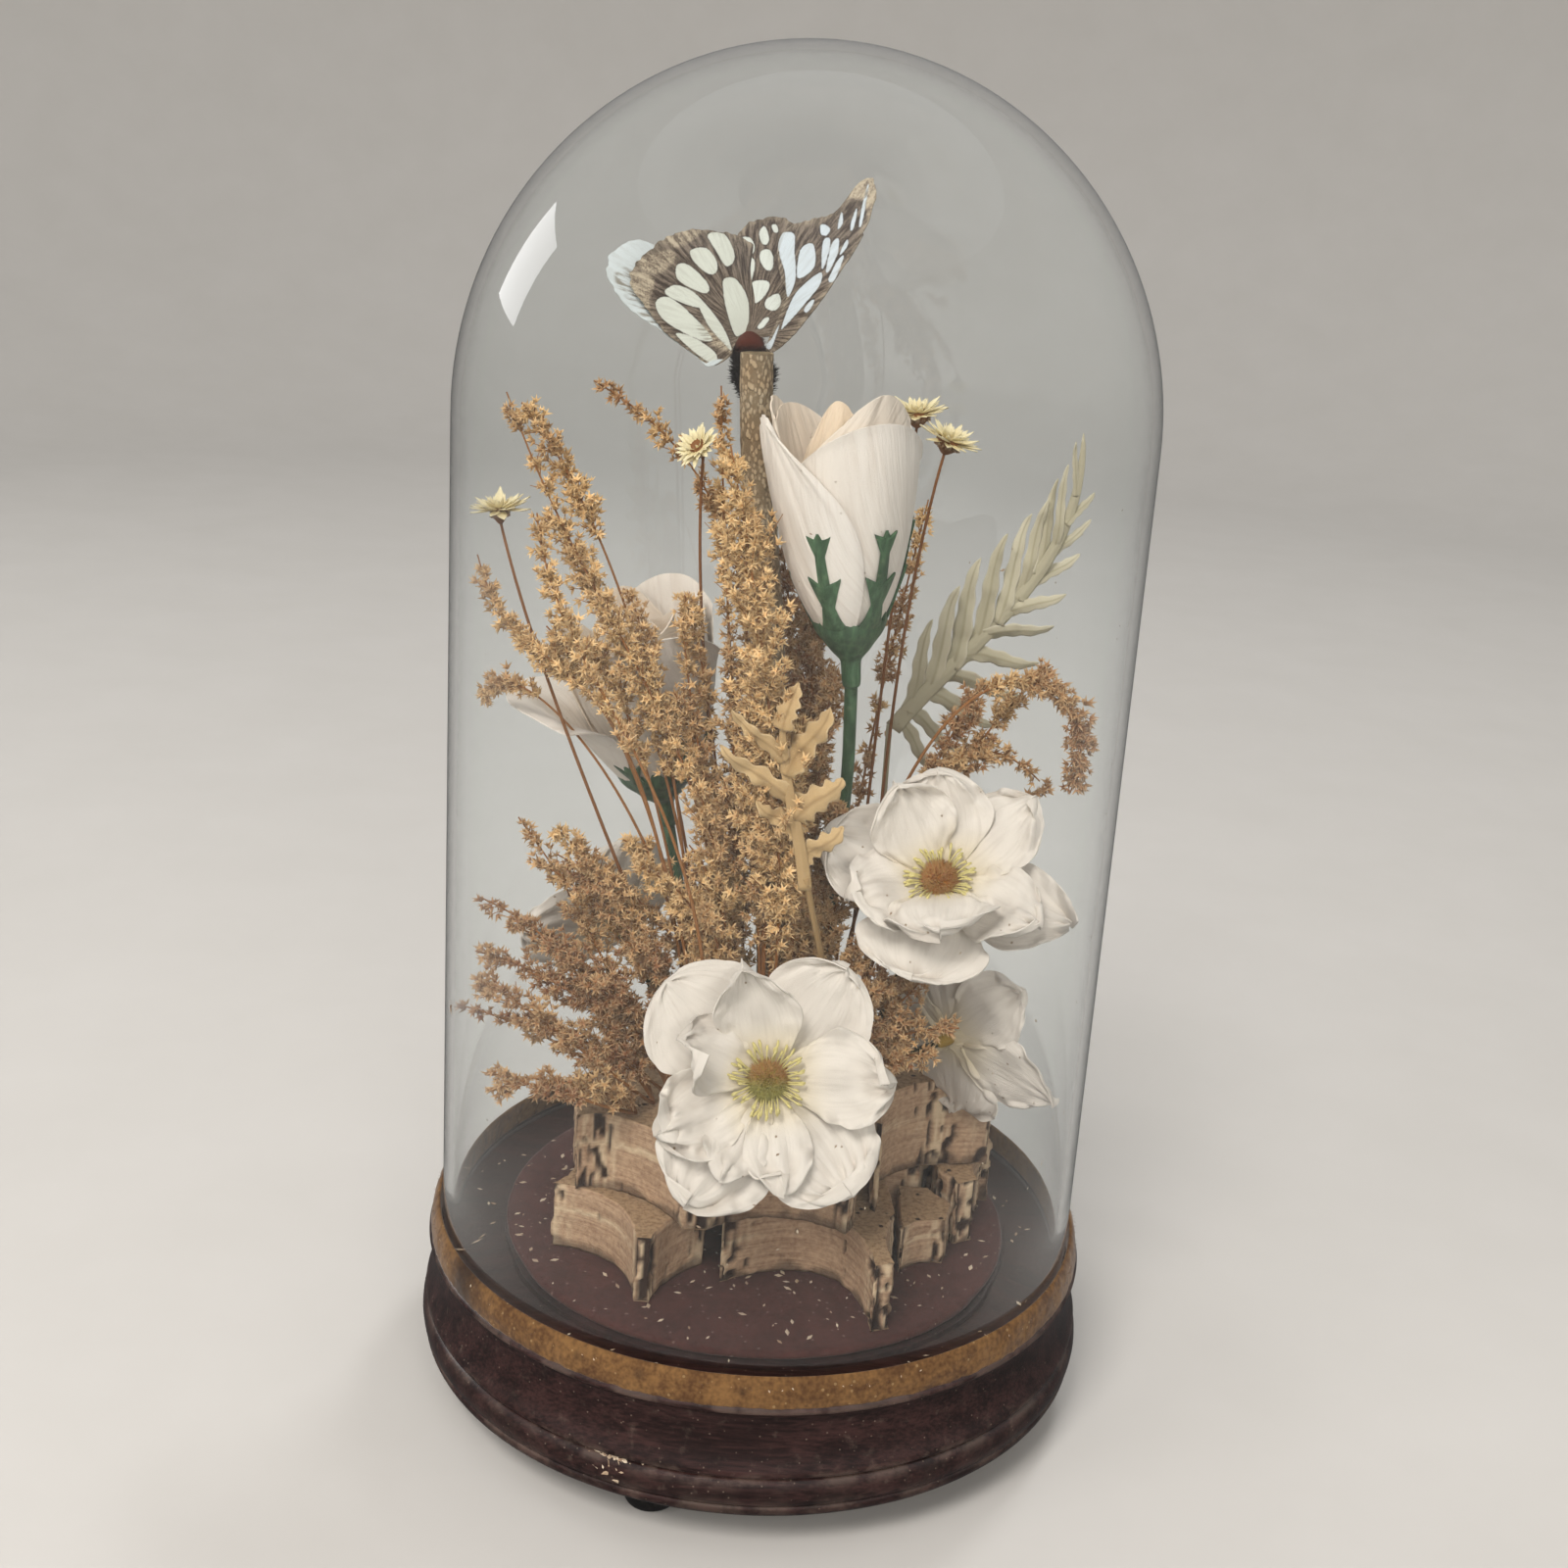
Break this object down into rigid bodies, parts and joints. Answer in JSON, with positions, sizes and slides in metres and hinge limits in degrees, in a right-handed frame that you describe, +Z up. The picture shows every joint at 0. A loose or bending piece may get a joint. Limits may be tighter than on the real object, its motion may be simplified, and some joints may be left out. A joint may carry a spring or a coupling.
{
  "type": "insect in a glass dome",
  "caption": "Glass dome on a turned wooden base with cork, dried grasses, fern, cloth roses and white flowers, and a mounted butterfly on a twig.",
  "frame": {"origin": "on the surface the feet stand on, under the axis of the dome", "axes": "+Z up along the dome's axis; the front of the arrangement faces -Y; +X to the right seen from the front"},
  "size_m": [0.1806, 0.1796, 0.3457],
  "materials": {
    "wood": "dark stained wood, satin, dusty and scuffed",
    "foot": "black, matt",
    "glass": "clear, polished",
    "velvet_tan": "faded tan velvet",
    "velvet_brown": "plum brown velvet",
    "cork": "punched cork, rough",
    "twig_bark": "grey tan bark",
    "wing": "scaled wing, cream cells between brown veins",
    "rose": "pale peach cloth, matt",
    "green": "moulded green",
    "petal": "white cloth, thin",
    "flower_stem": "yellow flocked stamens on a wrapped stem",
    "daisy": "dried flower head",
    "grass": "dried grass plume, golden to red brown",
    "fern": "bleached fern"
  },
  "bodies": {
    "root": {"wood_base": "wood", "foot_1": "foot", "foot_2": "foot", "foot_3": "foot", "velvet_band": "velvet_tan", "velvet_disc": "velvet_brown", "glass_dome": "glass", "cork_front_left": "cork", "cork_front_middle": "cork", "cork_front_right": "cork", "cork_right_end": "cork", "cork_back": "cork", "cork_upper_left": "cork", "cork_upper_right": "cork", "twig": "twig_bark", "butterfly": "wing", "rose_high_petals": "rose", "rose_high_calyx": "green", "rose_low_petals": "rose", "rose_low_calyx": "green", "anemone_front_outer_petals": "petal", "anemone_front_inner_petals": "petal", "anemone_front_stem": "flower_stem", "anemone_right_outer_petals": "petal", "anemone_right_inner_petals": "petal", "anemone_right_stem": "flower_stem", "anemone_low_right_outer_petals": "petal", "anemone_low_right_stem": "flower_stem", "anemone_back_outer_petals": "petal", "anemone_back_stem": "flower_stem", "daisy_left": "daisy", "daisy_right_high": "daisy", "daisy_right_low": "daisy", "daisy_top": "daisy", "grass_centre": "grass", "grass_upper_left": "grass", "grass_left": "grass", "grass_left_inner": "grass", "grass_far_left": "grass", "grass_top_left": "grass", "grass_top_spike": "grass", "grass_back_brown": "grass", "grass_middle_left": "grass", "grass_right_thin": "grass", "grass_right_arch": "grass", "grass_right_low": "grass", "grass_lower_left_top": "grass", "grass_lower_left_mid": "grass", "grass_lower_left_out": "grass", "grass_lower_left_low": "grass", "grass_low_centre": "grass", "grass_low_right": "grass", "grass_low_middle": "grass", "fern_right": "fern", "fern_centre": "fern"}
  },
  "joints": []
}
